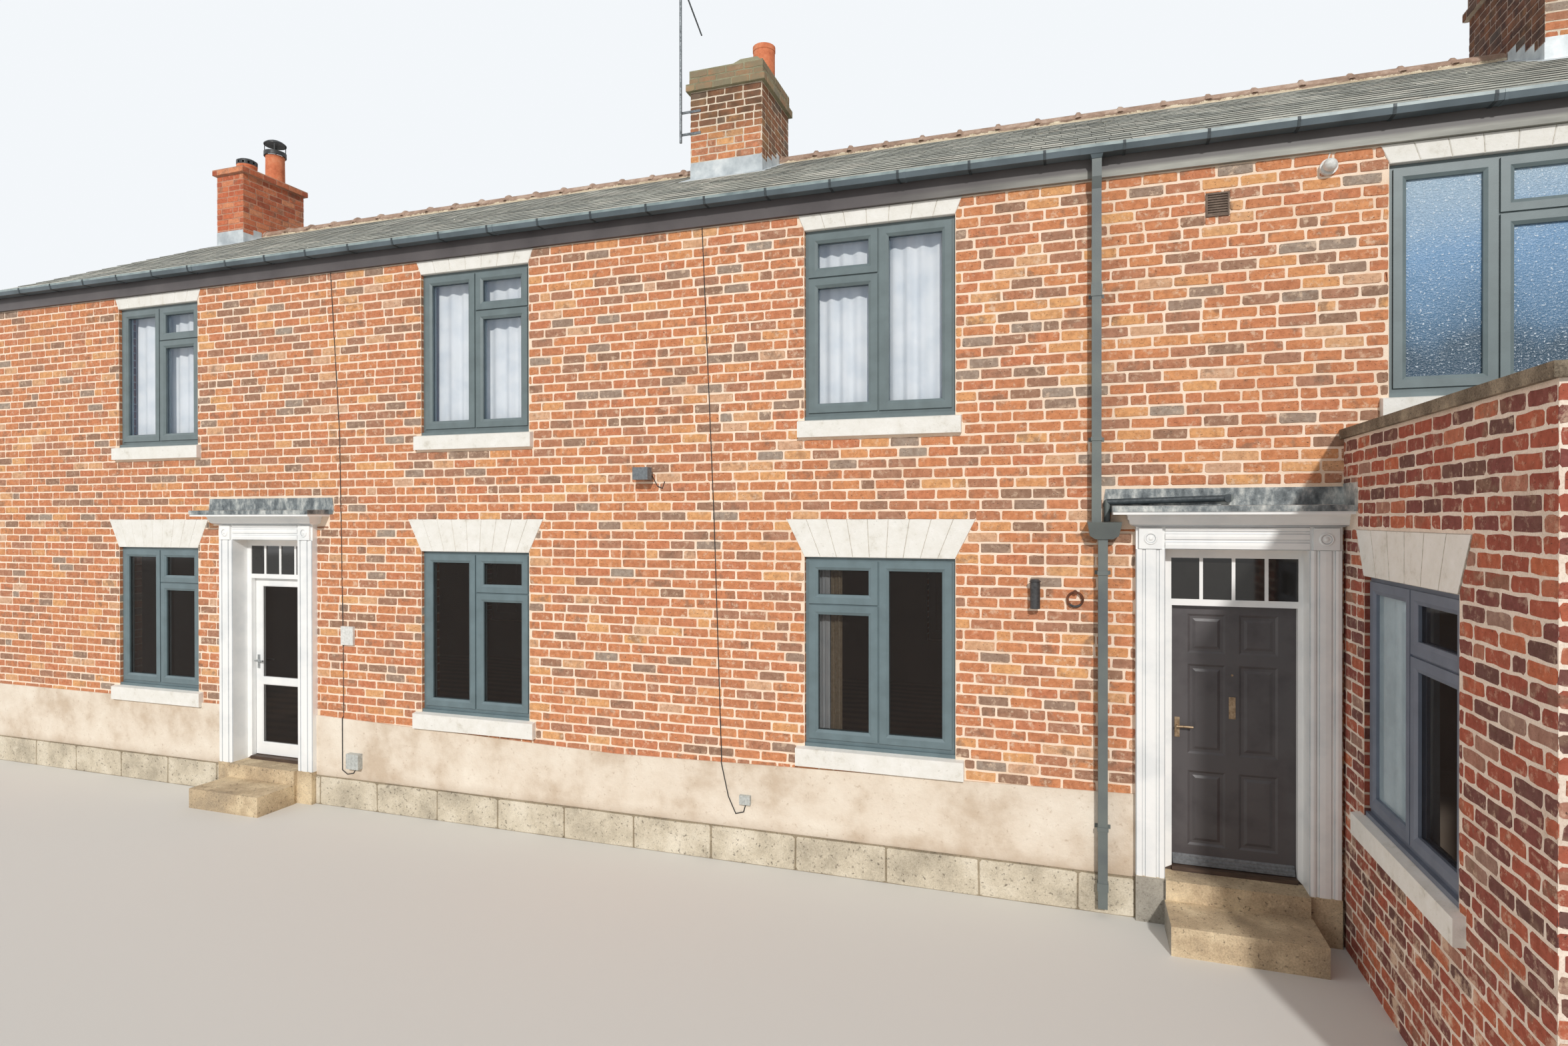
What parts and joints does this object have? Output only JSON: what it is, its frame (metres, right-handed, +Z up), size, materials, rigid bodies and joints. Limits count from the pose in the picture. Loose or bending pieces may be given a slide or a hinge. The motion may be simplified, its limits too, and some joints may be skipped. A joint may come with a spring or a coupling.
{
  "type": "terraced house row",
  "caption": "Brick row of two-storey houses with slate roof, chimneys, casement windows, hooded classical doorways and a low flat-roofed wing; both front doors swing inward.",
  "frame": {"origin": "underside of the front wall, in its outer face, at the middle of the party wall", "axes": "+X right along the front, +Y into the houses, +Z up"},
  "size_m": [17.685, 9.768, 9.7],
  "materials": {
    "stone": "weathered sandstone base course and steps",
    "floor": "boards",
    "brick": "mixed orange-red bricks in pale lime mortar",
    "chimney_brick": "sooty red bricks",
    "slate": "grey slates with lichen",
    "terracotta": "fired clay",
    "dark_plastic": "slate-grey plastic gutters and boards",
    "render": "painted render, pale pinkish cream",
    "painted_stone": "stone painted off-white",
    "window_frame": "slate-blue foiled plastic",
    "window_glass": "double glazing",
    "net": "white net",
    "rod": "white enamel",
    "white_paint": "white gloss paint on timber",
    "lead": "weathered sheet lead",
    "door_paint": "black-brown paint",
    "brass": "dull bronze",
    "steel": "satin",
    "black_metal": "black powder coat",
    "aerial_metal": "dull weathered",
    "felt": "mineral felt",
    "coping_stone": "dark weathered stone",
    "cable": "black sheath"
  },
  "bodies": {
    "row": {"stone_footing": "stone", "wing_footing": "stone", "ground_floors": "floor", "first_floors": "floor", "front_wall_left": "brick", "front_wall_middle": "brick", "front_wall_right": "brick", "front_wall_over_doors": "brick", "back_wall": "brick", "left_gable_wall": "brick", "party_wall": "brick", "right_end_wall": "brick", "chimney_breasts": "brick", "front_roof": "slate", "back_roof": "slate", "ridge_tiles": "terracotta", "fascias": "dark_plastic", "gutters": "dark_plastic", "rainwater_pipes": "dark_plastic", "wall_render": "render", "window_lintels": "painted_stone", "window_sills": "painted_stone", "window_frames": "window_frame", "window_glass": "window_glass", "net_curtains": "net", "curtain_rods": "rod", "door_pilasters": "white_paint", "door_entablatures": "white_paint", "door_hoods": "lead", "door_jambs": "white_paint", "fanlights": "white_paint", "door_steps": "stone", "chimney_stacks": "chimney_brick", "chimney_pots": "terracotta", "chimney_cowls": "black_metal", "chimney_flashings": "lead", "tv_aerial": "aerial_metal", "wing_left_wall": "brick", "wing_front_wall": "brick", "wing_right_wall": "brick", "wing_roof": "felt", "wing_coping": "coping_stone", "wall_fittings": "black_metal", "wall_cables": "cable"},
    "right_door": {"right_door_leaf": "door_paint", "right_door_fittings": "brass"},
    "left_door": {"left_door_leaf": "white_paint", "left_door_glass": "window_glass", "left_door_fittings": "steel"}
  },
  "joints": [
    {"name": "right_door_hinge", "type": "hinge", "parent": "row", "child": "right_door", "pos_m": [5.4995, 0.218, 1.36], "axis": [0, 0, -1], "range_deg": [0, 90]},
    {"name": "left_door_hinge", "type": "hinge", "parent": "row", "child": "left_door", "pos_m": [-3.7605, 0.218, 1.36], "axis": [0, 0, -1], "range_deg": [0, 90]}
  ]
}
